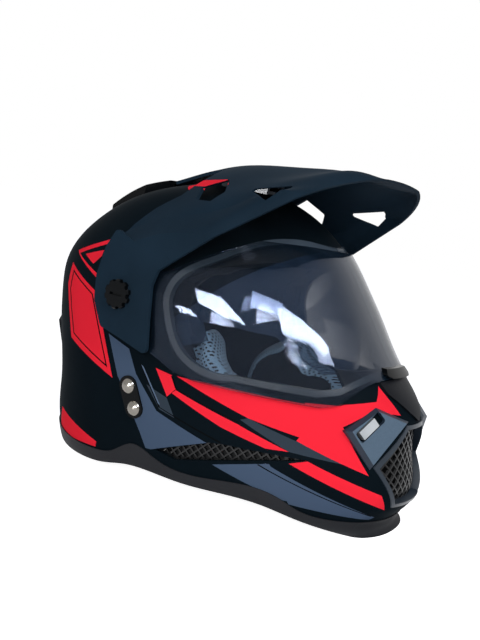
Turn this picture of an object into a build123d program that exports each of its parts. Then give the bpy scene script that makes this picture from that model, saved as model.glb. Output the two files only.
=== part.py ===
from build123d import *
import math
import os
from functools import lru_cache

# A full-face dual sport helmet at rest on its bottom rim. Millimetres, +Z up, the face looks
# along -Y, the wearer's right is -X. The origin is at the middle of the floor under the shell.

# Driving sizes of the outer shell
shell_length = 360.0
shell_width = 250.0
shell_height = 254.0
shell_wall = 4.0

# Allowances that several pieces share
overrun = 6.0
cut_reach = 24.0
running_gap = 0.06
soft_gap = 0.5
seat_gap = 0.3
fixing_gap = 0.1

# Comfort lining and impact liner
liner_gap = 0.6
comfort_thickness = 11.0
chin_foam_thickness = 12.0
cheek_foam_thickness = 15.0
neck_roll_width = 20.0
neck_roll_height = 24.0
neck_roll_gap = 5.0
strap_slot_depth = 12.0

# Rim, seals and fixings
trim_proud = 1.2
trim_depth = 6.5
gasket_width = 5.0
gasket_proud = 1.1
rivet_head_radius = 6.2
rivet_head_height = 3.2
rivet_shank_radius = 2.4
rivet_tail_radius = 5.0
rivet_tail_height = 1.4
rivet_tail_gap = 0.8
washer_radius = 8.4
washer_height = 1.6

# Shield, sun visor and their pivots
shield_gap = 1.5
shield_thickness = 2.2
tab_proud = 4.0
tab_radius = 1.0
lens_corner_radius = 4.0
pivot_plate_radius = 27.0
pivot_pocket_depth = 2.0
pivot_boss_radius = 8.0
screw_head_radius = 12.0
screw_head_height = 4.2
screw_chamfer = 1.0
screw_flutes = 10
screw_flute_radius = 2.0
screw_shank_radius = 3.2
screw_shank_length = 7.0
visor_thickness = 2.0
visor_inset = 8.0
visor_pin_radius = 4.0
visor_pin_head_radius = 7.5
visor_pin_head_height = 1.6
visor_side_gap = 1.5
visor_arm_lap = 7.0
arm_low_angle = 16.0
arm_top_angle = 46.0
visor_clear_angle = 3.0
visor_lever_travel = 22.0
visor_lever_length = 17.0
visor_lever_width = 11.0
visor_lever_proud = 4.0

# Peak
peak_wall = 3.0
wing_gap = 0.5
wing_wall = 3.2
tongue_half_width = 33.0
wing_corner_radius = 4.0
peak_hole_radius = 1.5

# Chin vents and grilles
frame_proud = 0.8
frame_width = 3.2
pod_proud = 5.0
pod_sink = 6.0
pod_knee = 2.6
pod_top = 6.8
pod_slot_length = 27.0
pod_slot_width = 10.0
slider_length = 17.0
slider_width = 7.6
slider_rise = 0.8
slider_neck_length = 6.0
slider_neck_width = 3.6
slider_flange = 2.0
slider_travel = 4.0
nose_proud = 2.4
nose_shield_gap = 0.8
grille_recess = 8.0
grille_thickness = 1.6
grille_pitch = 9.0
grille_bar = 1.8
side_grille_lap = 3.0
side_grille_pitch = 7.0
side_grille_bar = 1.6
foam_clearance = 2.0

# Crown and rear vents
vent_proud = 8.0
scoop_proud = 9.0
vent_wall = 2.4
vent_slider_length = 18.0
vent_slider_width = 10.0
vent_slider_travel = 5.0
vent_slider_proud = 3.0
spoiler_proud = 6.0
curtain_thickness = 2.0
curtain_height = 17.0
neck_radius = 90.0

# Chin strap
strap_width = 25.0
strap_thickness = 1.8
strap_inset = 1.3
strap_height = 11.0
strap_turn_height = 21.0
strap_turn_radius = 9.0
buckle_length = 44.0
buckle_width = 29.0
buckle_height = 10.0
buckle_wall = 2.0
lever_length = 30.0
lever_pin_radius = 1.2
pin_room = 1.0
tongue_thickness = 2.6
tongue_outside = 16.0
tongue_teeth = 9
tongue_tooth = 3.0
tooth_groove = 1.0
lever_thickness = 2.6

half_length = shell_length / 2
half_width = shell_width / 2
y_shift = (frame_proud + nose_proud - spoiler_proud) / 2

# Levels of the outer form: height, widest half width, rear, front, half width and place of the
# front corner, and place of the widest point. Shares of the height, half width and half length.
level_shares = [
    (0.000, 0.859, 0.867, -0.965, 0.344, -0.905, 0.190),
    (0.077, 0.906, 0.900, -0.989, 0.359, -0.916, 0.195),
    (0.231, 0.953, 0.916, -1.000, 0.359, -0.916, 0.195),
    (0.315, 0.969, 0.938, -0.984, 0.344, -0.894, 0.195),
    (0.392, 0.980, 0.967, -0.951, 0.344, -0.862, 0.195),
    (0.454, 0.988, 0.986, -0.873, 0.375, -0.786, 0.195),
    (0.538, 0.996, 1.000, -0.759, 0.422, -0.667, 0.206),
    (0.635, 1.000, 0.995, -0.656, 0.453, -0.558, 0.217),
    (0.731, 0.965, 0.927, -0.556, 0.453, -0.444, 0.228),
    (0.815, 0.875, 0.821, -0.463, 0.438, -0.341, 0.228),
    (0.885, 0.758, 0.691, -0.363, 0.375, -0.255, 0.233),
    (0.942, 0.602, 0.531, -0.247, 0.297, -0.146, 0.217),
    (0.981, 0.406, 0.374, -0.119, 0.203, -0.043, 0.195),
    (1.000, 0.219, 0.217, 0.011, 0.109, 0.054, 0.163),
]
# Fullness of the curves between rear, side, corner and front
rear_full_share = 0.60
side_full_shares = (0.45, 0.55, 0.18)
nose_full_shares = (0.70, 0.75, 0.40)
corner_grow_share = 0.35
crown_grow_power = 3

# Side outlines, as shares of half length and height
eyeport_rear_shares = [(-0.461, 0.823), (-0.260, 0.830), (-0.125, 0.754), (-0.020, 0.690),
                       (0.011, 0.630), (-0.010, 0.560), (-0.075, 0.478), (-0.163, 0.438),
                       (-0.325, 0.433)]
eyeport_front_shares = [(-0.650, 0.435), (-0.710, 0.448), (-0.780, 0.500), (-0.830, 0.512),
                        (-1.150, 0.512), (-1.150, 0.823)]
lens_shares = [(-1.150, 0.842), (-0.379, 0.850), (-0.245, 0.842), (-0.100, 0.770), (0.040, 0.697),
               (0.320, 0.690),
               (0.395, 0.640), (0.395, 0.556), (0.300, 0.492), (0.090, 0.452), (-0.070, 0.400),
               (-0.168, 0.388), (-0.678, 0.388), (-0.737, 0.402), (-0.808, 0.477),
               (-0.856, 0.496), (-1.150, 0.496)]
lower_edge_shares = [(-1.084, 0.000), (-0.880, 0.000), (-0.661, 0.026), (-0.542, 0.048),
                     (-0.163, 0.050), (0.136, 0.048), (0.260, 0.025), (0.420, 0.008),
                     (0.600, 0.000), (1.084, 0.000)]
seam_shares = [(-1.084, 0.046), (-0.916, 0.048), (-0.656, 0.062), (-0.600, 0.084),
               (-0.163, 0.085), (-0.022, 0.104), (0.098, 0.127), (0.217, 0.077),
               (0.320, 0.058), (0.542, 0.050), (1.084, 0.044)]
slot_shares = [(-0.022, 0.133), (-0.271, 0.208), (-0.341, 0.215), (-0.488, 0.219),
               (-0.683, 0.223), (-0.493, 0.192), (-0.119, 0.119)]
wing_shares = [(0.043, 0.431), (0.206, 0.462), (0.320, 0.481), (0.379, 0.558), (0.390, 0.638),
               (0.363, 0.731), (0.314, 0.796), (0.217, 0.769), (-0.020, 0.740), (0.060, 0.695),
               (0.080, 0.646), (0.065, 0.538)]
wing_rear_shares = [(0.396, 0.681), (0.363, 0.731), (0.314, 0.796), (0.298, 0.819),
                    (0.238, 0.881), (0.163, 0.935), (0.141, 1.008), (0.141, 1.308),
                    (1.355, 1.308), (1.355, 0.681)]
peak_hole_shares = [(-0.195, 0.988), (-0.423, 1.023), (-0.347, 0.962)]
peak_rear_hole_shares = [(-0.010, 1.012), (-0.076, 0.969), (-0.045, 0.932), (0.050, 0.930),
                         (0.095, 0.972)]
liner_face_shares = [(-1.626, 0.781), (-0.282, 0.781), (-0.119, 0.738), (0.040, 0.669),
                     (0.040, 0.538), (-0.043, 0.431), (-0.076, 0.077), (-1.626, 0.077)]
liner_foot_share = 0.134
chin_foam_shares = [(-1.20, 0.085), (-0.62, 0.085), (-0.62, 0.400), (-0.70, 0.415),
                    (-0.78, 0.470), (-1.20, 0.470)]
cheek_foam_shares = [(-0.600, 0.110), (-0.600, 0.395), (-0.400, 0.405), (-0.150, 0.410),
                     (-0.054, 0.405), (-0.087, 0.110)]
cheek_pad_shares = [(-0.440, 0.240), (-0.400, 0.392), (-0.240, 0.430), (-0.155, 0.480),
                    (-0.110, 0.535), (-0.060, 0.545), (-0.030, 0.490), (0.030, 0.445),
                    (0.120, 0.385), (0.120, 0.165), (0.000, 0.115), (-0.330, 0.140)]
crown_pad_foot_share = 0.480
# Cheek pad: place across the helmet and size of its outline there
cheek_level_shares = [(0.832, 1.00), (0.672, 1.03), (0.544, 0.92), (0.488, 0.70)]
cheek_rear_share = -0.090
deflector_shares = (0.34, 0.330, 0.490)
curtain_shares = (0.76, -0.222, -0.60)
chin_rear_share = -0.55
grille_plane_share = -0.80
visor_lever_shares = (0.260, 0.165)

# Front outlines, as shares of half width and height
chin_port_shares = [(0.150, 0.362), (0.383, 0.231), (0.242, 0.108), (-0.242, 0.108),
                    (-0.383, 0.231), (-0.150, 0.362)]
nose_shares = [(-0.258, 0.492), (-0.234, 0.450), (-0.105, 0.400), (0.000, 0.371),
               (0.105, 0.400), (0.234, 0.450), (0.258, 0.492)]
tab_shares = [(-0.200, 0.502), (-0.170, 0.520), (0.170, 0.520), (0.200, 0.502),
              (0.150, 0.494), (-0.150, 0.494)]

# Corners of the right vent pod and the ends of its slug, as shares of half width, half length
# and height
pod_shares = [(-0.344, -0.846, 0.408), (-0.141, -0.949, 0.373), (-0.398, -0.889, 0.223),
              (-0.523, -0.770, 0.331)]
pod_rim_share = 0.86
slug_end_shares = [(-0.469, -0.813, 0.312), (-0.352, -0.862, 0.377)]

# Rear outlines, as shares of half width and height
spoiler_shares = [(-0.44, 0.300), (-0.50, 0.400), (-0.30, 0.440), (0.30, 0.440), (0.50, 0.400),
                  (0.44, 0.300), (0.20, 0.262), (-0.20, 0.262)]
spoiler_slot_shares = (0.34, 0.12, 0.350, 0.392)
spoiler_exit_shares = (0.36, 0.08, 0.302, 0.335)

# Top outlines, as shares of half width and half length
vent_shares = [(-0.20, 0.511), (0.20, 0.511), (0.33, 0.590), (0.30, 0.800), (0.12, 0.870),
               (-0.12, 0.870), (-0.30, 0.800), (-0.33, 0.590)]
vent_inner_share = 0.88
scoop_shares = [(-0.12, -0.030), (0.12, -0.030), (0.30, 0.075), (0.31, 0.150), (0.20, 0.200),
                (-0.20, 0.200), (-0.31, 0.150), (-0.30, 0.075)]
scoop_mouth_share = 0.09
vent_slider_share = 0.640
vent_floor_share = 0.790
vent_mouth_shares = (0.14, 0.800)

# Head room inside the comfort lining: height, half width, half length, centre
head_shares = [(-0.046, 0.656, 0.520, 0.217), (0.000, 0.656, 0.520, 0.217),
               (0.192, 0.656, 0.531, 0.217), (0.385, 0.648, 0.553, 0.217),
               (0.538, 0.641, 0.558, 0.217), (0.654, 0.609, 0.531, 0.228),
               (0.750, 0.516, 0.450, 0.238), (0.812, 0.375, 0.336, 0.249),
               (0.854, 0.156, 0.152, 0.260)]

# Pivots and rivets, as shares of half length and height
pivot_shares = (0.244, 0.596)
visor_pivot_shares = (0.136, 0.450)
rivet_shares = [(0.152, 0.312), (0.108, 0.246)]

# Sun visor: half width and radius about its pivot, as shares of half width, and its arc in degrees
visor_profile_shares = [(0.898, 0.420), (0.859, 0.545), (0.781, 0.685), (0.625, 0.835),
                        (0.469, 0.930), (0.310, 1.008), (0.156, 1.055)]
visor_nose_share = 1.070
visor_edge_shares = [(0.120, 0.300), (0.120, 0.560), (-0.270, 0.571), (-0.414, 0.563),
                     (-0.490, 0.510), (-0.555, 0.465), (-0.600, 0.300)]
visor_low_angle = 1.0
visor_top_angle = 47.0
visor_travel_angle = 41.0

root_share = 0.24

# Peak ribs: angle above level ahead, then half width and radius about the shield pivot of side,
# crease, haunch, shoulder and spine edge, and the radius at the middle, as shares of half width
peak_rib_shares = [
    (37.5, 0.780, (0.900, 1.295), (0.797, 1.425), (0.656, 1.535), (0.300, 1.675), 1.690),
    (46, 0.656, (0.898, 1.000), (0.781, 1.164), (0.609, 1.297), (0.266, 1.430), 1.453),
    (58, 0.516, (0.922, 0.690), (0.805, 0.860), (0.594, 1.031), (0.250, 1.188), 1.219),
    (74, 0.390, (0.935, 0.545), (0.781, 0.700), (0.586, 0.850), (0.234, 1.016), 1.047),
    (90, 0.325, (0.940, 0.455), (0.781, 0.625), (0.586, 0.765), (0.219, 0.906), 0.938),
    (106, 0.310, (0.942, 0.418), (0.781, 0.608), (0.586, 0.750), (0.219, 0.838), 0.860),
    (110, 0.310, (0.942, 0.418), (0.781, 0.610), (0.586, 0.750), (0.219, 0.835), 0.855),
]


def across(share):
    return share * half_width


def along(share):
    return share * half_length + y_shift


def up(share):
    return share * shell_height


def side_points(shares):
    return [(along(y), up(z)) for y, z in shares]


def front_points(shares):
    return [(across(x), up(z)) for x, z in shares]


pivot_y, pivot_z = along(pivot_shares[0]), up(pivot_shares[1])
visor_y, visor_z = along(visor_pivot_shares[0]), up(visor_pivot_shares[1])
nose_y = along(-1.0) - pod_proud - overrun
tail_y = along(1.0) + spoiler_proud + overrun
side_x = half_width + pod_proud + overrun
chin_rear_y = along(chin_rear_share)


def ring(z, w, rear, front, corner_x, corner_y, wide_y):
    # One level: a closed outline with a soft corner each side of the chin
    span = wide_y - corner_y
    side_a, side_b, side_c = side_full_shares
    nose_a, nose_b, nose_c = nose_full_shares
    halves = []
    for s in (1, -1):
        tail = [(0, rear), (s * rear_full_share * w, rear),
                (s * w, wide_y + rear_full_share * (rear - wide_y)), (s * w, wide_y)]
        flank = [(s * w, wide_y), (s * w, wide_y - side_a * span),
                 (s * (corner_x + side_b * (w - corner_x)), corner_y + side_c * span),
                 (s * corner_x, corner_y)]
        nose = [(s * corner_x, corner_y),
                (s * nose_a * corner_x, corner_y + nose_b * (front - corner_y)),
                (s * nose_c * corner_x, front), (0, front)]
        halves.append([[(x, y, z) for x, y in curve] for curve in (tail, flank, nose)])
    right, left = halves
    order = right + [list(reversed(curve)) for curve in reversed(left)]
    return Wire([Bezier(*curve).edge() for curve in order])


@lru_cache(maxsize=None)
def form(grow):
    # The helmet's outer form, moved outwards by grow
    rings = []
    for z, w, rear, front, corner_x, corner_y, wide_y in level_shares:
        height = up(z) + grow * z ** crown_grow_power
        level = (across(w) + grow, along(rear) + grow, along(front) - grow,
                 across(corner_x) + corner_grow_share * grow, along(corner_y) - grow, along(wide_y))
        rings.append(ring(height, *level))
    return Solid.make_loft(rings)


@lru_cache(maxsize=None)
def head(grow):
    # The room for the head, moved outwards by grow
    rings = []
    for z, a, b, y in head_shares:
        height = up(z) + grow * max(z, 0) ** crown_grow_power
        place = Location((0, along(y), height))
        rings.append((place * Ellipse(across(a) + grow, half_length * b + grow)).wire())
    return Solid.make_loft(rings)


def plate(plane, points, start, end, radius=0.0):
    # A straight-sided block with an outline of rounded corners
    face = make_face(Polyline(*points, close=True))
    if radius:
        face = fillet(face.vertices(), radius)
    return extrude(plane.offset(start) * face, end - start)


def side_block(points, start=None, end=None, radius=0.0):
    first = -side_x if start is None else start
    last = side_x if end is None else end
    return plate(Plane.YZ, points, first, last, radius)


def front_block(points, radius=0.0, first_y=0.0):
    return plate(Plane.XZ, points, -first_y, -nose_y, radius)


def rear_block(points, radius=0.0):
    return plate(Plane.XZ, points, -tail_y, -pivot_y, radius)


def band(outer, inner):
    return form(outer) - form(inner)


def curved_block(curve, closing):
    # A block across the whole width, bounded by one smooth curve and a polyline
    edges = Curve() + Spline(*curve) + Polyline(curve[-1], *closing, curve[0])
    face = make_face(edges)
    return extrude(Plane.YZ.offset(-side_x) * face, 2 * side_x)


def both(right):
    return right, mirror(right, about=Plane.YZ)


def cylinder_x(radius, first_x, last_x, y, z):
    # A round bar across the helmet between two places
    middle = (first_x + last_x) / 2
    return Pos(middle, y, z) * Rot(0, 90, 0) * Cylinder(radius, abs(last_x - first_x))


def surface(grow, start, way):
    # The last place where a line meets the form, and the way out of the form there
    hits = form(grow).find_intersection_points(Axis(start, way))
    return max(hits, key=lambda hit: (hit[0] - Vector(*start)).dot(Vector(*way)))


def slide_slot(plane, travel):
    # The slot in a wall for a slider's neck, from rest to the end of its travel
    return plane * Pos(travel / 2, 0, 0) * Box(
        slider_neck_length + travel + 2 * seat_gap, slider_neck_width + 2 * seat_gap, cut_reach)


def slide_piece(plane, length, width, top, travel, outside, wall):
    # A knob outside a wall, a neck through its slot and a flange behind it, clear at both ends
    back = Pos(plane.x_dir * -travel)
    over, under = form(outside + seat_gap), form(outside - wall - seat_gap)
    knob = plane * Pos(0, 0, top / 2 - wall) * Box(length, width, top + 2 * wall)
    knob = knob - over - back * over
    neck = plane * Box(slider_neck_length, slider_neck_width, cut_reach)
    neck = (neck & form(outside + top / 2)) - form(outside - wall - slider_flange)
    flange = plane * Box(length - 2 * slider_flange, width, cut_reach)
    flange = (flange & under & back * under) - form(outside - wall - 2 * slider_flange)
    return knob + neck + flange


parts = {}


def keep(name, shape):
    solids = shape.solids()
    parts[name] = solids[0] if len(solids) == 1 else Compound(solids)


# Bottom rim: the shell ends at a seam, and the rubber trim carries on to the floor
seam = side_points(seam_shares)
lower_edge = side_points(lower_edge_shares)
under_seam = curved_block(seam, [(seam[-1][0], -overrun), (seam[0][0], -overrun)])
under_edge = curved_block(lower_edge, [(lower_edge[-1][0], -overrun), (lower_edge[0][0], -overrun)])


def moved_in(points, distance):
    # The same open outline moved sideways, each corner along the middle of its two edges
    result = []
    for i, (x, r) in enumerate(points):
        before, after = points[max(i - 1, 0)], points[min(i + 1, len(points) - 1)]
        dx, dr = after[0] - before[0], after[1] - before[1]
        size = math.hypot(dx, dr)
        result.append((x + distance * dr / size, r - distance * dx / size))
    return result


def eyeport(grow=0.0):
    corners = side_points(eyeport_rear_shares + eyeport_front_shares)
    corners = moved_in(corners, -grow)
    rear, front = corners[:len(eyeport_rear_shares)], corners[len(eyeport_rear_shares):]
    face = make_face(Curve() + Spline(*rear) + Polyline(rear[-1], *front, rear[0]))
    return extrude(Plane.YZ.offset(-side_x) * face, 2 * side_x)


gasket_port = eyeport(gasket_width)
chin_port = front_block(front_points(chin_port_shares), first_y=chin_rear_y)
side_slot = side_block(side_points(slot_shares))
shell = band(0, -shell_wall) - under_seam - gasket_port - chin_port - side_slot

# Places on the sides, right-hand ones with negative x
pocket_x = half_width - pivot_pocket_depth
boss_end_x = half_width + shield_gap + shield_thickness + wing_gap + wing_wall + seat_gap
rivets = side_points(rivet_shares)


def on_both(make):
    right = make()
    return Compound([right, mirror(right, about=Plane.YZ)])


# Shell: pockets and holes for the pivots, the rivets and the crown and rear vents
pocket = cylinder_x(pivot_plate_radius + fixing_gap, pocket_x, side_x, pivot_y, pivot_z)
shell -= pocket
shell -= mirror(pocket, about=Plane.YZ)
for y, z in rivets:
    shell -= cylinder_x(rivet_shank_radius + fixing_gap, -side_x, side_x, y, z)
vent_mouth_x, vent_mouth_y = vent_mouth_shares
vent_mouth = Pos(0, along((vent_shares[2][1] + vent_mouth_y) / 2), shell_height) * Box(
    2 * across(vent_mouth_x), vent_slider_length + vent_slider_travel, shell_height / 2)
shell -= vent_mouth & form(overrun)
slot_reach, slot_half, slot_low, slot_high = spoiler_slot_shares
for s in (-1, 1):
    port = [(s * across(slot_half), up(slot_low)), (s * across(slot_reach), up(slot_low)),
            (s * across(slot_reach), up(slot_high)), (s * across(slot_half), up(slot_high))]
    shell -= rear_block(port)
pod_corners = [Vector(across(x), along(y), up(z)) for x, y, z in pod_shares]
pod_middle = sum(pod_corners[1:], pod_corners[0]) / len(pod_corners)
pod_out = (pod_corners[1] - pod_corners[3]).cross(pod_corners[0] - pod_corners[2])
slug_low, slug_high = [Vector(across(x), along(y), up(z)) for x, y, z in slug_end_shares]
slug_plane = Plane(origin=(slug_low + slug_high) / 2, x_dir=slug_high - slug_low, z_dir=pod_out)
shell -= slide_slot(slug_plane, slider_travel)
shell -= mirror(slide_slot(slug_plane, slider_travel), about=Plane.YZ)

lever_y, lever_height = along(visor_lever_shares[0]), up(visor_lever_shares[1])
lever_start, lever_out = surface(0, (0, lever_y, lever_height), (1, 0, 0))
lever_end, _ = surface(0, (0, lever_y + visor_lever_travel, lever_height), (1, 0, 0))
lever_plane = Plane(origin=lever_start, x_dir=lever_end - lever_start, z_dir=lever_out)
shell -= slide_slot(lever_plane, visor_lever_travel)
keep("outer_shell", shell)

trim = (band(trim_proud, -trim_depth) & under_seam) - under_edge
keep("bottom_trim", trim)

gasket = (band(gasket_proud, -shell_wall) & gasket_port) - eyeport()
keep("eyeport_gasket", gasket)

# Impact liner: dome, brow, sides and back, with slots for the straps and the sun visor
liner_outer = -(shell_wall + liner_gap)
liner = form(liner_outer) - head(comfort_thickness)
liner -= side_block(side_points(liner_face_shares))
foot = up(liner_foot_share)
liner -= Pos(0, 0, foot / 2 - overrun / 2) * Box(2 * side_x, 4 * half_length, foot + overrun)
strap_y = sum(y for y, z in rivets) / len(rivets)
strap_top = max(z for y, z in rivets) + strap_width / 2
strap_slot = Pos(half_width, strap_y, strap_top / 2) * Box(
    2 * (half_width - across(level_shares[1][1]) + strap_slot_depth), strap_width + 2 * liner_gap,
    strap_top + 4 * strap_thickness)
liner -= on_both(lambda: mirror(strap_slot, about=Plane.YZ))

visor_profile = [(across(x), across(r)) for x, r in visor_profile_shares]
visor_middle = (0.0, across(visor_nose_share))


def visor_sheet(inner, outer, low, top, side_gap=0.0):
    # A curved sheet that turns in its own surface about the sun visor's pivot
    def rim(wider, further):
        points = [(x + wider, r + further) for x, r in visor_profile]
        middle = [(visor_middle[0], visor_middle[1] + further)]
        return [(-x, r) for x, r in points] + middle + list(reversed(points))

    outside = rim(side_gap, outer)
    inside = rim(-side_gap, inner)
    edges = Curve() + Spline(*outside) + Line(outside[-1], inside[-1])
    edges += Spline(*reversed(inside)) + Line(inside[0], outside[0])
    face = make_face(edges)
    start = Plane(origin=(0, visor_y, visor_z), x_dir=(1, 0, 0),
                  z_dir=(0, -math.sin(math.radians(low)), -math.cos(math.radians(low))))
    axis = Axis((0, visor_y, visor_z), (-1, 0, 0))
    return revolve(start * face, axis, top - low)


visor = visor_sheet(-visor_thickness, 0, visor_low_angle, visor_top_angle)
visor -= side_block(side_points(visor_edge_shares), radius=lens_corner_radius)
liner -= visor_sheet(-visor_thickness - visor_side_gap, shell_wall + visor_inset,
                     visor_top_angle - visor_travel_angle, visor_top_angle + visor_travel_angle
                     + visor_clear_angle, visor_side_gap)
arm_x = across(visor_profile_shares[0][0])
arm_reach = across(visor_profile_shares[0][1])
arm_slot = cylinder_x(arm_reach + visor_inset, -(arm_x + visor_side_gap),
                      -(arm_x - visor_thickness - visor_pin_head_height - visor_side_gap),
                      visor_y, visor_z)
liner -= on_both(lambda: arm_slot)
liner -= cylinder_x(visor_pin_radius + liner_gap, -side_x, side_x, visor_y, visor_z) - cylinder_x(
    visor_pin_radius + overrun, -arm_x, arm_x, visor_y, visor_z)
slot_face = make_face(Polyline(*side_points(slot_shares), close=True))
grille_room = extrude(Plane.YZ.offset(-side_x) * offset(slot_face, side_grille_lap + foam_clearance),
                      2 * side_x) & band(0, -shell_wall - grille_thickness - foam_clearance)
liner -= grille_room
lever_pocket = lever_plane * Pos(visor_lever_travel / 2, 0, 0) * Box(
    visor_lever_length + visor_lever_travel, visor_lever_width + 2 * liner_gap,
    2 * (shell_wall + 3 * slider_flange))
liner -= lever_pocket
keep("eps_liner", liner)


def from_visor_pivot(radius, angle):
    turn = math.radians(angle)
    return visor_y - radius * math.cos(turn), visor_z + radius * math.sin(turn)


# Sun visor with its two arms, the pins that carry it and the slide that moves it
arm_points = [from_visor_pivot(visor_pin_head_radius, arm_low_angle - 90),
              from_visor_pivot(arm_reach + visor_arm_lap, arm_low_angle),
              from_visor_pivot(arm_reach + visor_arm_lap, arm_top_angle),
              from_visor_pivot(visor_pin_head_radius, arm_top_angle + 90)]
arm = side_block(arm_points, -(arm_x - seat_gap / 2), -(arm_x - visor_thickness))
arm += cylinder_x(visor_pin_head_radius, -(arm_x - seat_gap / 2), -(arm_x - visor_thickness),
                  visor_y, visor_z)
arm -= cylinder_x(visor_pin_radius + running_gap, -side_x, -arm_x / 2, visor_y, visor_z)
visor += arm
visor += mirror(arm, about=Plane.YZ)
keep("sun_visor", visor)
pin_neck_x = arm_x - visor_thickness - running_gap
pin = cylinder_x(visor_pin_radius, -side_x, -pin_neck_x, visor_y, visor_z) & form(-shell_wall)
pin += cylinder_x(visor_pin_head_radius, -pin_neck_x, -(pin_neck_x - visor_pin_head_height),
                  visor_y, visor_z)
for name, shape in zip(("sun_visor_pin_right", "sun_visor_pin_left"), both(pin)):
    keep(name, shape)

# Pivot plates in the shell's side pockets, with the boss that shield and peak turn on
plate_disc = cylinder_x(pivot_plate_radius, -side_x, -pocket_x, pivot_y, pivot_z) & form(0)
plate_disc += cylinder_x(pivot_boss_radius, -boss_end_x, -pocket_x, pivot_y, pivot_z)
plate_disc -= cylinder_x(screw_shank_radius + fixing_gap, -boss_end_x,
                         -(boss_end_x - screw_shank_length - fixing_gap), pivot_y, pivot_z)
for name, shape in zip(("pivot_plate_right", "pivot_plate_left"), both(plate_disc)):
    keep(name, shape)

# Coin screws: fluted heads with a slot, screwed into the bosses
head_end_x = boss_end_x + screw_head_height
screw = cylinder_x(screw_head_radius, -head_end_x, -boss_end_x, pivot_y, pivot_z)
screw = chamfer(screw.faces().sort_by(Axis.X)[0].edges(), screw_chamfer)
for k in range(screw_flutes):
    turn = math.radians(360 * k / screw_flutes)
    screw -= cylinder_x(screw_flute_radius, -head_end_x, -boss_end_x,
                        pivot_y + screw_head_radius * math.cos(turn),
                        pivot_z + screw_head_radius * math.sin(turn))
screw -= Pos(-head_end_x, pivot_y, pivot_z) * Box(screw_head_height, screw_head_radius,
                                                  screw_flute_radius)
screw += cylinder_x(screw_shank_radius, -boss_end_x, -(boss_end_x - screw_shank_length),
                    pivot_y, pivot_z)
for name, shape in zip(("peak_screw_right", "peak_screw_left"), both(screw)):
    keep(name, shape)


# Face shield and its lift tab
def lens_block(grow=0.0):
    face = make_face(Polyline(*side_points(lens_shares), close=True))
    face = fillet(face.vertices(), lens_corner_radius)
    if grow:
        face = offset(face, grow)
    return extrude(Plane.YZ.offset(-side_x) * face, 2 * side_x)


lens_outer = shield_gap + shield_thickness
lens = band(lens_outer, shield_gap) & lens_block()
lens -= cylinder_x(pivot_boss_radius + running_gap, -side_x, side_x, pivot_y, pivot_z)
keep("face_shield", lens)
tab = band(lens_outer + tab_proud, lens_outer) & front_block(
    front_points(tab_shares), tab_radius, chin_rear_y)
keep("shield_tab", tab)


# Peak: a hood of ribs fanned about the pivot, with a flat wing each side
wing_inner_x = half_width + shield_gap + shield_thickness + wing_gap
wing_outer_x = wing_inner_x + wing_wall
hood_side_x = wing_inner_x + peak_wall + (wing_wall - peak_wall) / 2


def rib(angle, side, crease, haunch, shoulder, spine, middle):
    # One closed rib in the plane through the pivot axis at this angle above level ahead
    turn = math.radians(angle)
    outer = [(-hood_side_x, across(root_share)), (-hood_side_x, across(side))]
    outer += [(-across(x), across(r)) for x, r in (crease, haunch, shoulder, spine)]
    outer += [(0, across(middle)), (across(spine[0]), across(spine[1]))]
    inner = moved_in(outer, peak_wall)
    inner[0] = (-hood_side_x + peak_wall, outer[0][1])

    def place(points, flip=1):
        return [(flip * x, pivot_y - r * math.cos(turn), pivot_z + r * math.sin(turn))
                for x, r in points]

    def half(points, flip):
        flat = place(points, flip)
        return [Line(flat[0], flat[1]), Line(flat[1], flat[2]), Spline(*flat[2:6])]

    def crown(points):
        left, right = place(points[5:6]), place(points[5:6], -1)
        return ThreePointArc(left[0], place(points[6:7])[0], right[0])

    edges = half(outer, 1) + [crown(outer)] + half(outer, -1) + half(inner, 1) + [crown(inner)]
    edges += half(inner, -1)
    for flip in (1, -1):
        edges.append(Line(place(outer[:1], flip)[0], place(inner[:1], flip)[0]))
    return Wire([edge.edge() for edge in edges])


hood = Solid.make_loft([rib(*row) for row in peak_rib_shares])
wing = side_block(side_points(wing_shares), -wing_outer_x, -wing_inner_x, wing_corner_radius)
peak = hood + wing + mirror(wing, about=Plane.YZ)
rear_cut = side_block(side_points(wing_rear_shares), -side_x, -tongue_half_width)
peak -= rear_cut
peak -= mirror(rear_cut, about=Plane.YZ)
for shares in (peak_hole_shares, peak_rear_hole_shares):
    peak_hole = side_block(side_points(shares), -side_x, -half_width / 2, peak_hole_radius)
    peak -= peak_hole
    peak -= mirror(peak_hole, about=Plane.YZ)
peak -= cylinder_x(pivot_boss_radius + running_gap, -side_x, side_x, pivot_y, pivot_z)
keep("peak_shell", peak)

# Rivets of the chin strap and the washer plate under their heads
plate_outline = Plane.YZ.offset(-half_width - overrun) * (
    Pos((rivets[0][0] + rivets[1][0]) / 2, (rivets[0][1] + rivets[1][1]) / 2)
    * Rot(0, 0, math.degrees(math.atan2(rivets[0][1] - rivets[1][1], rivets[0][0] - rivets[1][0])))
    * SlotCenterToCenter(math.dist(rivets[0], rivets[1]), 2 * washer_radius))
washer = (extrude(plate_outline, half_width / 2) & form(washer_height)) - form(0)
for y, z in rivets:
    washer -= cylinder_x(rivet_shank_radius + fixing_gap, -side_x, -half_width / 2, y, z)
for name, shape in zip(("rivet_washer_right", "rivet_washer_left"), both(washer)):
    keep(name, shape)

# Chin strap: webbing from the rivets down past the liner and across to the buckle
strap_top_x = across(level_shares[3][1]) - shell_wall - strap_inset
strap_turn_x = across(level_shares[1][1]) - trim_depth - soft_gap - strap_thickness
strap_low_z = strap_height + strap_thickness / 2
strap_path = [(-strap_top_x, strap_top), (-strap_turn_x, strap_turn_height),
              (-strap_turn_x + strap_turn_radius, strap_low_z), (-buckle_length / 2 - seat_gap,
                                                                 strap_low_z)]
strap_line = FilletPolyline(*strap_path, radius=strap_turn_radius / 2)
strap_face = Plane.XZ * make_face(offset(strap_line, strap_thickness / 2, side=Side.BOTH))


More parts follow.
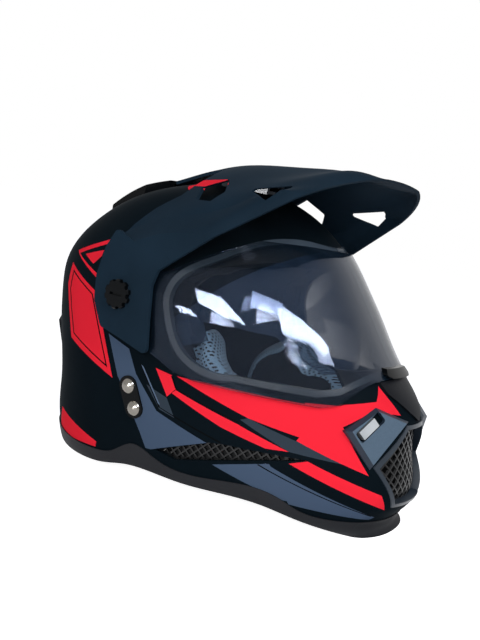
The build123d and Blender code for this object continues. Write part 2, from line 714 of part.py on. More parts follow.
def flank_x(z):
    # The form's widest half width at a height, between its levels
    heights = [up(row[0]) for row in level_shares]
    widths = [across(row[1]) for row in level_shares]
    i = next(k for k in range(1, len(heights)) if heights[k] >= z)
    share = (z - heights[i - 1]) / (heights[i] - heights[i - 1])
    return widths[i - 1] + share * (widths[i] - widths[i - 1])


def strap_x(z):
    (x0, z0), (x1, z1) = strap_path[:2]
    return x0 + (z - z0) / (z1 - z0) * (x1 - x0)


strap = extrude(Pos(0, strap_y + strap_width / 2, 0) * strap_face, strap_width)
tongue_end_x = -(buckle_length / 2 + tongue_outside)
right_strap = strap & Pos(tongue_end_x - half_width, strap_y, strap_top / 2) * Box(
    2 * half_width, 2 * strap_width, 2 * strap_top)
for y, z in rivets:
    bore = cylinder_x(rivet_shank_radius + fixing_gap, -side_x, -half_width / 2, y, z)
    right_strap -= bore
    strap -= bore
left_strap = mirror(strap, about=Plane.YZ)
keep("chin_strap_right", right_strap)
keep("chin_strap_left", left_strap)

dome_radius = (rivet_head_radius ** 2 + rivet_head_height ** 2) / (2 * rivet_head_height)
rivet_set = []
for y, z in rivets:
    face_x = flank_x(z) + washer_height
    bar = cylinder_x(rivet_head_radius, -side_x, -half_width / 2, y, z) - form(washer_height)
    dome = bar & Pos(-(face_x + rivet_head_height - dome_radius), y, z) * Sphere(dome_radius)
    tail_x = strap_x(z) + strap_thickness / 2 + rivet_tail_gap
    dome += cylinder_x(rivet_shank_radius, -(face_x + rivet_head_height / 2), tail_x, y, z)
    dome += cylinder_x(rivet_tail_radius, tail_x, tail_x + rivet_tail_height, y, z)
    rivet_set += [dome, mirror(dome, about=Plane.YZ)]
keep("strap_rivets", Compound([solid for shape in rivet_set for solid in shape.solids()]))

# Buckle: a channel for the toothed tongue under a lever on its own pin
buckle_place = Pos(0, strap_y, strap_low_z)
buckle = buckle_place * Box(buckle_length, buckle_width, buckle_height)
tongue_width = buckle_width - 2 * buckle_wall - 2 * seat_gap
channel = Box(2 * buckle_length, tongue_width + 2 * seat_gap, tongue_thickness + 2 * seat_gap)
buckle -= buckle_place * channel
lever_drop = lever_thickness + seat_gap
lever_room = Box(buckle_length, buckle_width - 2 * buckle_wall, buckle_height)
buckle -= buckle_place * Pos(buckle_wall, 0, buckle_height - lever_drop - pin_room) * lever_room
pin_x = -buckle_length / 2 + 2 * buckle_wall + lever_thickness / 2
lever_z = buckle_height / 2 - lever_thickness / 2
pin_bar = Rot(90, 0, 0) * Cylinder(lever_pin_radius, buckle_width)
pin_bore = Rot(90, 0, 0) * Cylinder(lever_pin_radius + running_gap, 2 * buckle_width)
buckle -= buckle_place * Pos(pin_x, 0, lever_z) * pin_bore
keep("buckle_body", buckle)
lever = Pos(lever_length / 2, 0, 0) * Box(
    lever_length, buckle_width - 2 * buckle_wall - 2 * seat_gap, lever_thickness)
lever += Rot(90, 0, 0) * Cylinder(lever_thickness / 2, buckle_width - 2 * buckle_wall - 2 * seat_gap)
lever += pin_bar
keep("buckle_lever", buckle_place * Pos(pin_x, 0, lever_z) * lever)
tongue_far_x = buckle_length / 2 - buckle_wall
tongue = Pos((tongue_end_x + tongue_far_x) / 2, strap_y, strap_low_z) * Box(
    tongue_far_x - tongue_end_x, tongue_width, tongue_thickness)
for k in range(tongue_teeth):
    groove_x = tongue_far_x - (k + 1) * tongue_tooth
    tongue -= Pos(groove_x, strap_y, strap_low_z + tongue_thickness / 2) * Rot(0, 45, 0) * Box(
        tooth_groove, tongue_width * 2, tooth_groove)
keep("strap_tongue", tongue)

# Chin port: a frame in the shell's opening and a diamond grille at its back
inner_port = offset(make_face(Polyline(*front_points(chin_port_shares), close=True)), -frame_width)
port_block = extrude(Plane.XZ.offset(-chin_rear_y) * inner_port, chin_rear_y - nose_y)
frame = (band(frame_proud, -grille_recess) & chin_port) - port_block
keep("chin_grille_frame", frame)


def net_holes(plane, centre, reach, pitch, bar, depth):
    # Diamond holes on a staggered grid, cut right through along the plane's normal
    holes = []
    side = (pitch - bar) / math.sqrt(2)
    across_count, up_count = int(reach[0] / pitch), int(2 * reach[1] / pitch)
    for row in range(-up_count, up_count + 1):
        for column in range(-across_count, across_count + 1):
            u = centre[0] + (column + 0.5 * (row % 2)) * pitch
            v = centre[1] + row * pitch / 2
            holes.append(plane * Pos(u, v) * Rectangle(side, side, rotation=45))
    return extrude(Sketch() + holes, depth, both=True)


port_points = front_points(chin_port_shares)
port_reach = (max(x for x, z in port_points) + grille_pitch,
              (max(z for x, z in port_points) - min(z for x, z in port_points)) / 2)
port_centre = (0, (max(z for x, z in port_points) + min(z for x, z in port_points)) / 2)
grille = band(-grille_recess + grille_thickness, -grille_recess) & port_block
grille -= net_holes(Plane.XZ.offset(-along(grille_plane_share)), port_centre, port_reach,
                    grille_pitch, grille_bar, half_length / 2)
keep("chin_grille", grille)

# Vent pods: bevelled blocks on the corners of the chin, each with a slug that slides in a slot
pod_plane = Plane(origin=pod_middle, x_dir=slug_high - slug_low, z_dir=pod_out)
pod_outline = [pod_plane.to_local_coords(corner) for corner in pod_corners]


def pod_level(height, share):
    return pod_plane * Pos(0, 0, height) * make_face(
        Polyline(*[(corner.X * share, corner.Y * share) for corner in pod_outline], close=True))


pod = loft([pod_level(-pod_sink, 1), pod_level(pod_knee, 1), pod_level(pod_top, pod_rim_share)],
           ruled=True) - form(0)
pod -= slug_plane * Pos(slider_travel / 2, 0, 0) * extrude(
    RectangleRounded(pod_slot_length, pod_slot_width, slider_flange), 2 * pod_top, both=True)
slug_rise = (slug_plane.origin - pod_middle).dot(pod_out.normalized())
slug_top = pod_top + slider_rise - slug_rise
slug = slide_piece(slug_plane, slider_length, slider_width, slug_top, slider_travel, 0, shell_wall)
for side, pod_shape, slug_shape in zip(("right", "left"), both(pod), both(slug)):
    keep(f"vent_pod_{side}", pod_shape)
    keep(f"vent_slider_{side}", slug_shape)

# Nose piece over the chin, under the shield
nose_trim = (band(nose_proud, 0) & front_block(front_points(nose_shares), first_y=chin_rear_y))
nose_trim -= lens_block(nose_shield_gap)
keep("nose_trim", nose_trim)

# Side grilles in the slots of the chin bar, from behind the shell's wall
grille_block = extrude(Plane.YZ.offset(-side_x) * offset(slot_face, side_grille_lap), side_x)
side_grille = band(-shell_wall, -shell_wall - grille_thickness) & grille_block
slot_box = slot_face.bounding_box()
side_grille -= net_holes(Plane.YZ.offset(-half_width), (slot_box.center().X, slot_box.center().Y),
                         (slot_box.size.X, slot_box.size.Y / 2), side_grille_pitch,
                         side_grille_bar, half_width) & extrude(
    Plane.YZ.offset(-side_x) * slot_face, side_x)
for name, shape in zip(("side_grille_right", "side_grille_left"), both(side_grille)):
    keep(name, shape)

# Crown vents: a cover behind the peak with a slider on top, and a scoop in front under the peak
vent_floor = up(vent_floor_share)


def hollow_cover(shares, proud, mouth_share):
    # A hollow cover on the crown, with its mouth between its first two corners
    outline = [(across(x), along(y)) for x, y in shares]
    middle = along((shares[0][1] + shares[4][1]) / 2)
    room = [(x * vent_inner_share, middle + (y - middle) * vent_inner_share) for x, y in outline]
    top = shell_height + proud
    cover = (plate(Plane.XY, outline, vent_floor, top + overrun) & form(proud)) - form(0)
    cover -= plate(Plane.XY, room, 0, top) & form(proud - vent_wall)
    mouth = Pos(0, outline[0][1], shell_height) * Box(2 * across(mouth_share), cut_reach, shell_height)
    return cover - ((mouth & form(proud - vent_wall)) - form(vent_wall))


keep("crown_scoop", hollow_cover(scoop_shares, scoop_proud, scoop_mouth_share))
cover = hollow_cover(vent_shares, vent_proud, vent_mouth_x)
vent_spot, vent_out = surface(vent_proud, (0, along(vent_slider_share), 0), (0, 0, 1))
vent_plane = Plane(origin=vent_spot, x_dir=vent_out.cross(Vector(-1, 0, 0)), z_dir=vent_out)
cover -= slide_slot(vent_plane, vent_slider_travel)
keep("top_vent_cover", cover)
keep("top_vent_slider", slide_piece(vent_plane, vent_slider_length, vent_slider_width,
                                    vent_slider_proud, vent_slider_travel, vent_proud, vent_wall))

# Rear spoiler over the exhaust ports
spoiler_outline = front_points(spoiler_shares)
spoiler_room = offset(make_face(Polyline(*spoiler_outline, close=True)), -vent_wall)
spoiler = band(spoiler_proud, 0) & rear_block(spoiler_outline)
spoiler -= extrude(Plane.XZ.offset(-tail_y) * spoiler_room, tail_y - pivot_y) & form(
    spoiler_proud - vent_wall)
exit_reach, exit_half, exit_low, exit_high = spoiler_exit_shares
for s in (-1, 1):
    near_x, far_x = s * across(exit_half), s * across(exit_reach)
    spoiler -= rear_block([(near_x, up(exit_low)), (far_x, up(exit_low)),
                           (far_x, up(exit_high)), (near_x, up(exit_high))])
keep("rear_spoiler", spoiler)

keep("sun_visor_lever", slide_piece(lever_plane, visor_lever_length, visor_lever_width,
                                    visor_lever_proud, visor_lever_travel, 0, shell_wall))

# Foam of the chin and the cheeks, open behind the vents
chin_foam = band(liner_outer, liner_outer - chin_foam_thickness) & side_block(
    side_points(chin_foam_shares))
chin_foam -= extrude(Plane.XZ.offset(-chin_rear_y) * offset(
    make_face(Polyline(*front_points(chin_port_shares), close=True)), foam_clearance),
    chin_rear_y - nose_y)
slug_room = slug_plane * Pos(slider_travel / 2, 0, 0) * Box(
    slider_length + slider_travel, slider_width + 2 * foam_clearance, 2 * chin_foam_thickness
    + 2 * shell_wall)
chin_foam -= slug_room
chin_foam -= mirror(slug_room, about=Plane.YZ)
chin_foam -= grille_room
keep("chin_foam", chin_foam)
cheek_foam = band(liner_outer, liner_outer - cheek_foam_thickness) & side_block(
    side_points(cheek_foam_shares), end=0)
cheek_foam -= grille_room
for name, shape in zip(("cheek_foam_right", "cheek_foam_left"), both(cheek_foam)):
    keep(name, shape)

# Comfort lining
lining = head(comfort_thickness - soft_gap) - head(0)
lining -= Box(2 * side_x, 4 * half_length, 2 * up(crown_pad_foot_share))
lining -= side_block(side_points(liner_face_shares))
keep("crown_pad", lining)

cheek_rear_y = along(cheek_rear_share)


def pad_level(x, share):
    # The cheek pad's outline at one place across the helmet
    points = side_points(cheek_pad_shares)
    middle_y = sum(y for y, z in points) / len(points)
    middle_z = sum(z for y, z in points) / len(points)
    moved = [(x, middle_y + (y - middle_y) * share, middle_z + (z - middle_z) * share)
             for y, z in points]
    return Wire(Spline(*moved, periodic=True).edge())


pad = Solid.make_loft([pad_level(-across(x), share) for x, share in cheek_level_shares])
pad = pad & form(liner_outer - cheek_foam_thickness - soft_gap)
pad -= side_block([(cheek_rear_y, -overrun), (tail_y, -overrun), (tail_y, shell_height),
                   (cheek_rear_y, shell_height)], end=0) - head(comfort_thickness - soft_gap)
for name, shape in zip(("cheek_pad_right", "cheek_pad_left"), both(pad)):
    keep(name, shape)

neck_centre = along(head_shares[0][3])
neck_roll_foot = foot - soft_gap - neck_roll_height
roll_start = strap_y + strap_width / 2 + neck_roll_gap
roll_turn = math.degrees(math.asin((roll_start - neck_centre) / neck_radius))
roll_face = Plane(origin=(0, neck_centre, neck_roll_foot + neck_roll_height / 2),
                  x_dir=(1, 0, 0), z_dir=(0, -1, 0)) * Pos(neck_radius, 0) * Ellipse(
    neck_roll_width / 2, neck_roll_height / 2)
roll = revolve(roll_face, Axis((0, neck_centre, 0), (0, 0, 1)), 180 - 2 * roll_turn)
keep("neck_roll", roll.rotate(Axis((0, neck_centre, 0), (0, 0, 1)), roll_turn))

curtain_reach, curtain_place, curtain_rear = curtain_shares
curtain = form(-trim_depth - soft_gap) & Pos(
    0, along(curtain_rear) - half_length, curtain_height) * Box(
    2 * side_x, 2 * half_length, curtain_thickness)
curtain -= Pos(0, along(curtain_place), curtain_height) * Cylinder(across(curtain_reach),
                                                                   2 * curtain_height)
keep("chin_curtain", curtain)

foam_inner = liner_outer - chin_foam_thickness
deflector_x, deflector_low, deflector_high = deflector_shares
deflector = band(foam_inner - soft_gap, foam_inner - soft_gap - curtain_thickness) & Pos(
    0, chin_rear_y - half_length, up((deflector_low + deflector_high) / 2)) * Box(
    2 * across(deflector_x), 2 * half_length, up(deflector_high - deflector_low))
keep("breath_deflector", deflector)

os.makedirs("parts", exist_ok=True)
for name, shape in parts.items():
    export_step(shape, f"parts/{name}.step")
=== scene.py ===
import bpy, math, numpy
from mathutils import Matrix, Vector, interpolate, noise


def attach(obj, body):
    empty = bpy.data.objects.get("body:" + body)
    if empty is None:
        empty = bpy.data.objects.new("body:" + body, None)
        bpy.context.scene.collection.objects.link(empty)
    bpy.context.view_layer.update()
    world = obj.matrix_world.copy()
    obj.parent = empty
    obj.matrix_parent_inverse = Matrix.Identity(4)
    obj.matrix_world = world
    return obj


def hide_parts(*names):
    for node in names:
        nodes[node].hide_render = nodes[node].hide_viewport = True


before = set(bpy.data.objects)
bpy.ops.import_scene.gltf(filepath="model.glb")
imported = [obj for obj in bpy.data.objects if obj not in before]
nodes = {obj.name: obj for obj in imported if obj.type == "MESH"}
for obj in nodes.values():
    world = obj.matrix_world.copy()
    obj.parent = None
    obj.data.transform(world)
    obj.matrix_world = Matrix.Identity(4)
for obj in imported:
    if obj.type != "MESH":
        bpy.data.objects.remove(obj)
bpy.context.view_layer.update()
scene = bpy.context.scene
mm = 0.001
print("frame loaded:", len(nodes), "nodes")


def toLinear(hexText, gain=1.0):
    parts = [int(hexText[i:i + 2], 16) / 255 for i in (1, 3, 5)]
    linear = [c / 12.92 if c < 0.04045 else ((c + 0.055) / 1.055) ** 2.4 for c in parts]
    return tuple(min(1.0, c * gain) for c in linear) + (1.0,)


def addNode(tree, kind, inputs=None, **settings):
    # A link is given as a socket, or as a node for its first output
    node = tree.nodes.new(kind)
    for name, value in settings.items():
        setattr(node, name, value)
    for key, value in (inputs or {}).items():
        if isinstance(value, bpy.types.Node):
            value = value.outputs[0]
        if isinstance(value, bpy.types.NodeSocket):
            tree.links.new(value, node.inputs[key])
        else:
            node.inputs[key].default_value = value
    return node


def newMaterial(name, **sockets):
    # Gives the shader, and the place on the object in millimetres for its pattern
    material = bpy.data.materials.new(name)
    material.use_nodes = True
    tree = material.node_tree
    shader = tree.nodes["Principled BSDF"]
    for key, value in sockets.items():
        shader.inputs[key.replace("_", " ")].default_value = value
    seat = addNode(tree, "ShaderNodeTexCoord").outputs["Object"]
    place = addNode(tree, "ShaderNodeVectorMath", {0: seat, "Scale": 1 / mm}, operation="SCALE")
    return material, tree, shader, place


def dress(name, material):
    nodes[name].data.materials.clear()
    nodes[name].data.materials.append(material)


def panelShare(tree, spot, panels):
    # 1 inside any of the convex panels and 0 outside; spot holds (across, up, 1)
    nearest = None
    for corners in panels:
        following = corners[1:] + corners[:1]
        area = sum(a[0] * b[1] - b[0] * a[1] for a, b in zip(corners, following))
        inside = None
        for a, b in zip(corners, following):
            run, rise = b[0] - a[0], b[1] - a[1]
            size = math.copysign(math.hypot(run, rise), area)
            side = (-rise / size, run / size)
            plane = (side[0], side[1], -(side[0] * a[0] + side[1] * a[1]))
            gap = addNode(tree, "ShaderNodeVectorMath", {0: spot, 1: plane},
                          operation="DOT_PRODUCT").outputs[1]
            if inside is not None:
                gap = addNode(tree, "ShaderNodeMath", {0: inside, 1: gap}, operation="MINIMUM")
            inside = gap
        if nearest is not None:
            inside = addNode(tree, "ShaderNodeMath", {0: nearest, 1: inside}, operation="MAXIMUM")
        nearest = inside
    return addNode(tree, "ShaderNodeMath", {0: nearest, 1: 0.0}, operation="GREATER_THAN")


# Sprayed matte lacquer: its tone drifts slowly, and a fine orange peel breaks its highlights
lacquerLook = {"cloudMm": 50.0, "peelMm": 1.4, "peel": 0.10, "peelDepth": 0.06 * mm}


def newLacquer(name, look):
    # As newMaterial, and the clouded base colour as a fifth value
    material, tree, shader, place = newMaterial(name, Roughness=look["roughness"], IOR=look["ior"])
    cloud = addNode(tree, "ShaderNodeTexNoise",
                    {"Vector": place, "Scale": 1 / lacquerLook["cloudMm"], "Detail": 3.0})
    dark, light = (toLinear(tone) for tone in look["tones"])
    base = addNode(tree, "ShaderNodeMix", {0: cloud, 6: dark, 7: light}, data_type="RGBA").outputs[2]
    peel = addNode(tree, "ShaderNodeTexNoise",
                   {"Vector": place, "Scale": 1 / lacquerLook["peelMm"], "Detail": 3.0})
    bump = addNode(tree, "ShaderNodeBump", {"Height": peel, "Strength": lacquerLook["peel"],
                                            "Distance": lacquerLook["peelDepth"]})
    tree.links.new(bump.outputs[0], shader.inputs["Normal"])
    return material, tree, shader, place, base


# Panel corners are (round the helmet from the chin's middle, height) in millimetres. The first
# is turnScale times the angle, in radians, about an upright line turnCentre behind the middle.
shellLook = {
    "turnCentre": 20.0, "turnScale": 100.0, "roughness": 0.55, "ior": 1.04, "tones": ("#080f14", "#0e171d"),
    "layers": [
        ("#333d47", [
            [(85, 77), (81, 79.5), (55.3, 69), (36.9, 58.2), (59.4, 60.5)],
            [(160, 101), (143, 100), (132, 79), (96, 66), (76, 57), (92, 55), (136, 68)]]),
        ("#46566c", [
            [(184, 116), (165.6, 109), (157, 89.4), (172, 83.3)],
            [(157, 90), (138, 66), (148, 42.3), (172, 84)],
            [(138, 66), (101, 52), (138.4, 32.8), (143, 32.3), (149, 44)],
            [(117, 27.5), (71.7, 46), (67, 48), (52, 18.6), (58, 21), (117, 21)],
            [(69, 48), (19, 17.4), (20.6, 14.8), (54, 18.6)]]),
        ("#f5293a", [
            [(137, 98), (130, 92), (81, 79.5), (55, 69), (47, 99), (100, 99)],
            [(57, 70), (27, 52), (38.4, 86), (47, 99)],
            [(56, 100), (48, 84), (38.4, 85), (38.7, 102)],
            [(48, 100), (38.4, 86.5), (23.4, 104), (19, 119), (38.7, 103)],
            [(26, 101), (12.3, 99.4), (19, 119)],
            [(143, 100), (132, 80), (126.5, 88), (131, 98)],
            [(132, 80), (95, 67.6), (76, 58.5), (59.4, 60.5), (85.8, 73), (126.5, 87)],
            [(58.6, 51.5), (51, 56), (21.6, 38), (17.4, 25)],
            [(233.6, 163.6), (201, 147), (192, 125), (176.5, 81), (224, 100), (236, 143.6)],
            [(219.7, 174), (197, 183.6), (202, 176.4), (201.6, 165)],
            [(236.8, 33.3), (246, 9), (189, 16.2), (188.3, 21.3)],
            [(194, 195), (192, 192), (229, 172.5), (232, 175)],
            [(232, 175), (229, 172.5), (200, 157), (200, 160.5)],
            [(184, 243), (206, 247), (206, 251), (184, 250)]]),
        ("#0a0b0c", [
            [(155.8, 100.5), (154.6, 99.5), (135, 68.8), (137, 69.5)],
            [(136.5, 70), (135, 68.8), (93, 54.6), (93, 55.8)],
            [(131.4, 97.2), (130, 97.4), (125.7, 87.8), (127.2, 88.2)],
            [(127, 88.6), (126, 87.4), (85.4, 74), (85.8, 75)],
            [(72, 45.9), (72, 44.9), (21, 18.1), (21.4, 19)],
            [(229.5, 158), (203, 144), (203.6, 142.9), (229.7, 156.6)],
            [(203, 144), (195.5, 124), (196.7, 123.7), (204, 143.2)],
            [(195.5, 124), (182, 88), (183.3, 88.4), (196.7, 123.7)],
            [(182, 88), (221.5, 104.5), (221, 105.6), (183, 89.8)],
            [(221.5, 104.5), (231.5, 141), (230.2, 141.2), (220.4, 105.3)],
            [(231.5, 141), (229.5, 158), (228.3, 157.2), (230.2, 141.2)]]),
        ("#5d6e86", [
            [(154.4, 99.6), (152.2, 98), (136, 71.5), (137.5, 72.2)]]),
    ],
}


def makeShellPaint():
    # Moulded ABS shell under sprayed matte lacquer: soft wide highlights with a fine orange peel
    look = shellLook
    material, tree, shader, place, colour = newLacquer("sprayedMatteLacquer", look)
    axes = addNode(tree, "ShaderNodeSeparateXYZ", {0: place})
    side = addNode(tree, "ShaderNodeMath", {0: axes}, operation="ABSOLUTE")
    ahead = addNode(tree, "ShaderNodeMath", {0: look["turnCentre"], 1: axes.outputs[1]},
                    operation="SUBTRACT")
    angle = addNode(tree, "ShaderNodeMath", {0: side, 1: ahead}, operation="ARCTAN2")
    turn = addNode(tree, "ShaderNodeMath", {0: angle, 1: look["turnScale"]}, operation="MULTIPLY")
    spot = addNode(tree, "ShaderNodeCombineXYZ", {0: turn, 1: axes.outputs[2], 2: 1.0}).outputs[0]
    for tone, panels in look["layers"]:
        share = panelShare(tree, spot, panels)
        colour = addNode(tree, "ShaderNodeMix", {0: share, 6: colour, 7: toLinear(tone)},
                         data_type="RGBA").outputs[2]
    tree.links.new(colour, shader.inputs["Base Color"])
    return material


# Panel corners are (distance from the middle, distance behind it) in millimetres, seen from above.
# The stripe is only on what faces up by more than "upward".
peakLook = {
    "roughness": 0.52, "ior": 1.04, "tones": ("#16222c", "#1f303e"), "upward": 0.1, "stripeTone": "#f5293a",
    "stripe": [[(69, 26), (73, -1), (83, -9), (84, 6), (79, 26)]],
}


def makePeakPaint():
    # Moulded ABS peak under sprayed matte lacquer: blue-black with a soft sheen on its folds
    look = peakLook
    material, tree, shader, place, base = newLacquer("sprayedPeakLacquer", look)
    axes = addNode(tree, "ShaderNodeSeparateXYZ", {0: place})
    side = addNode(tree, "ShaderNodeMath", {0: axes}, operation="ABSOLUTE")
    spot = addNode(tree, "ShaderNodeCombineXYZ", {0: side, 1: axes.outputs[1], 2: 1.0}).outputs[0]
    facing = addNode(tree, "ShaderNodeNewGeometry").outputs["True Normal"]
    rise = addNode(tree, "ShaderNodeSeparateXYZ", {0: facing}).outputs[2]
    above = addNode(tree, "ShaderNodeMath", {0: rise, 1: look["upward"]}, operation="GREATER_THAN")
    stripe = panelShare(tree, spot, look["stripe"])
    share = addNode(tree, "ShaderNodeMath", {0: above, 1: stripe}, operation="MULTIPLY")
    colour = addNode(tree, "ShaderNodeMix", {0: share, 6: base, 7: toLinear(look["stripeTone"])},
                     data_type="RGBA")
    tree.links.new(colour.outputs[2], shader.inputs["Base Color"])
    return material


dress("outer_shell", makeShellPaint())
dress("peak_shell", makePeakPaint())
print("shell and peak painted")

# Each finish: colour, roughness, grain width in millimetres, grain strength, then the shader's own sockets
mouldedLooks = {
    # Thermoplastic rubber from a spark-eroded tool: dull and grey where it catches light
    "mouldedRubberTrim": ("#26272a", 0.55, 0.9, 0.45, {"IOR": 1.15}),
    # Extruded seal rubber: smooth bead that carries long soft highlights; its pale blue-grey colour is
    # painted sheen on black-grey rubber
    "extrudedSealRubberPaintedSheen": ("#3d4853", 0.22, 40.0, 0.02, {"IOR": 1.45}),
    # Polished ABS: near mirror finish with slight waves
    "polishedMouldedAbs": ("#080a0c", 0.14, 20.0, 0.03, {"IOR": 1.16}),
    # ABS from a textured tool: even satin black
    "texturedMouldedAbs": ("#101217", 0.44, 0.8, 0.25, {"IOR": 1.12}),
    # Glass-filled ABS from an eroded tool: dark slate that still lights up where it faces the sky
    "erodedSlateAbs": ("#232c36", 0.32, 1.0, 0.2, {"IOR": 1.35}),
    # ABS under silver lacquer: pale metallic grey
    "silverLacqueredAbs": ("#a3a7ab", 0.36, 0.6, 0.2, {"Metallic": 0.6}),
    # Moulded nylon: dark, waxy sheen on thin bars
    "mouldedNylonGrille": ("#0b0c0e", 0.34, 0.6, 0.2, {"IOR": 1.35}),
    # Expanded polystyrene: dull, with the outlines of 3 mm beads
    "beadedPolystyrene": ("#101113", 0.78, 3.2, 0.8, {"IOR": 1.2}),
}


# What handling does to all of these: broad patches, darker and smoother or lighter and rougher
handled = {"patchPerMm": 0.035, "gain": (0.85, 1.3), "rub": (0.85, 1.15), "grainDepth": 0.08 * mm}


def makeMoulded(name, hexText, roughness, grainMm, strength, sockets):
    material, tree, shader, place = newMaterial(name, **sockets)
    patch = addNode(tree, "ShaderNodeTexNoise",
                    {"Vector": place, "Scale": handled["patchPerMm"], "Detail": 4.0})
    dark, light = (toLinear(hexText, gain) for gain in handled["gain"])
    colour = addNode(tree, "ShaderNodeMix", {0: patch, 6: dark, 7: light}, data_type="RGBA")
    tree.links.new(colour.outputs[2], shader.inputs["Base Color"])
    smooth, rough = (roughness * share for share in handled["rub"])
    rubbed = addNode(tree, "ShaderNodeMapRange", {0: patch, 3: smooth, 4: rough})
    tree.links.new(rubbed.outputs[0], shader.inputs["Roughness"])
    grain = addNode(tree, "ShaderNodeTexNoise", {"Vector": place, "Scale": 1 / grainMm, "Detail": 3.0})
    bump = addNode(tree, "ShaderNodeBump", {"Height": grain, "Strength": strength,
                                            "Distance": handled["grainDepth"]})
    tree.links.new(bump.outputs[0], shader.inputs["Normal"])
    return material


steelLook = {"tones": ("#5f5d59", "#918c84"), "swirlMm": 0.4, "roughness": (0.10, 0.26)}


def makePlatedSteel():
    # Stamped steel, chrome plated: mirror-like with faint swirl marks
    look = steelLook
    material, tree, shader, place = newMaterial("chromePlatedSteel", Metallic=1.0)
    swirl = addNode(tree, "ShaderNodeTexNoise",
                    {"Vector": place, "Scale": 1 / look["swirlMm"], "Detail": 5.0})
    dark, light = (toLinear(tone) for tone in look["tones"])
    colour = addNode(tree, "ShaderNodeMix", {0: swirl, 6: dark, 7: light}, data_type="RGBA")
    tree.links.new(colour.outputs[2], shader.inputs["Base Color"])
    smooth, rough = look["roughness"]
    rubbed = addNode(tree, "ShaderNodeMapRange", {0: swirl, 3: smooth, 4: rough})
    tree.links.new(rubbed.outputs[0], shader.inputs["Roughness"])
    return material


# The flat of each pod is paler than the bevels round it. The left pod's flat looks along "facing", and
# what lies closer to that than the cosine "spread" is painted pale.
podLook = {"roughness": 0.36, "ior": 1.3, "flat": ("#465869", "#546779"), "bevel": "#25313f",
           "facing": (0.58, -0.79, 0.21), "spread": 0.95,
           "fleckMm": 1.2, "fleck": 0.12, "fleckDepth": 0.08 * mm}


def makePodPaint():
    # ABS under sprayed metallic lacquer: slate blue with faint flecks, masked off darker on the bevels
    look = podLook
    material, tree, shader, place = newMaterial("sprayedMetallicLacquer", Roughness=look["roughness"],
                                                IOR=look["ior"])
    normal = addNode(tree, "ShaderNodeNewGeometry").outputs["True Normal"]
    facing = addNode(tree, "ShaderNodeSeparateXYZ", {0: normal})
    side = addNode(tree, "ShaderNodeMath", {0: facing}, operation="ABSOLUTE")
    mirrored = addNode(tree, "ShaderNodeCombineXYZ", {0: side, 1: facing.outputs[1], 2: facing.outputs[2]})
    along = addNode(tree, "ShaderNodeVectorMath", {0: mirrored, 1: look["facing"]}, operation="DOT_PRODUCT")
    flat = addNode(tree, "ShaderNodeMath", {0: along.outputs[1], 1: look["spread"]}, operation="GREATER_THAN")
    fleck = addNode(tree, "ShaderNodeTexNoise",
                    {"Vector": place, "Scale": 1 / look["fleckMm"], "Detail": 3.0})
    dark, light = (toLinear(tone) for tone in look["flat"])
    metal = addNode(tree, "ShaderNodeMix", {0: fleck, 6: dark, 7: light}, data_type="RGBA").outputs[2]
    colour = addNode(tree, "ShaderNodeMix", {0: flat, 6: toLinear(look["bevel"]), 7: metal}, data_type="RGBA")
    tree.links.new(colour.outputs[2], shader.inputs["Base Color"])
    bump = addNode(tree, "ShaderNodeBump", {"Height": fleck, "Strength": look["fleck"],
                                            "Distance": look["fleckDepth"]})
    tree.links.new(bump.outputs[0], shader.inputs["Normal"])
    return material


# Each sheet: its name, the tone of its tint, and how much of the light one surface of it stops, looked
# through squarely and at a slant; the rise at a slant is partly the longer way through the tint, mostly
# painted shade
sheetLooks = {
    "face_shield": {"name": "hardCoatedClearPolycarbonate", "tone": "#131f2b", "square": 0.20, "slantWithPaintedShade": 0.74},
    "sun_visor": {"name": "hardCoatedSmokePolycarbonate", "tone": "#3f5576", "square": 0.30, "slantWithPaintedShade": 0.50},
}

# The hard coat of both: a faint blue gloss, and wipe marks that are long upright and 4 mm wide
coatLook = {"ior": 1.58, "gloss": "#cddcff", "markPerMm": (0.25, 0.25, 0.02), "markSpan": (0.45, 0.75),
            "roughness": (0.01, 0.06), "turnSpan": (0.12, 0.55), "wipe": 0.03}


def makeSheet(look):
    # Injection moulded polycarbonate, hard coated: sharp reflections, faint wipe marks that run upright
    coat = coatLook
    material, tree, shader, place = newMaterial(look["name"], Base_Color=toLinear(look["tone"]),
                                                IOR=coat["ior"], Specular_Tint=toLinear(coat["gloss"]))
    wipe = addNode(tree, "ShaderNodeMapping", {0: place, "Scale": coat["markPerMm"]})
    marks = addNode(tree, "ShaderNodeTexNoise", {"Vector": wipe, "Scale": 1.0, "Detail": 4.0})
    (fewest, most), (smooth, rough) = coat["markSpan"], coat["roughness"]
    rubbed = addNode(tree, "ShaderNodeMapRange", {0: marks, 1: fewest, 2: most, 3: smooth, 4: rough})
    tree.links.new(rubbed.outputs[0], shader.inputs["Roughness"])
    # Where the sheet turns away from the camera more of its dark tint covers: partly the longer way through
    # it, mostly painted shade
    turned = addNode(tree, "ShaderNodeLayerWeight").outputs["Facing"]
    least, furthest = coat["turnSpan"]
    stoppedWithPaintedShade = addNode(tree, "ShaderNodeMapRange",
                      {0: turned, 1: least, 2: furthest, 3: look["square"], 4: look["slantWithPaintedShade"]})
    wiped = addNode(tree, "ShaderNodeMapRange", {0: marks, 3: -coat["wipe"], 4: coat["wipe"]})
    cover = addNode(tree, "ShaderNodeMath", {0: stoppedWithPaintedShade, 1: wiped}, operation="ADD")
    tree.links.new(cover.outputs[0], shader.inputs["Alpha"])
    return material


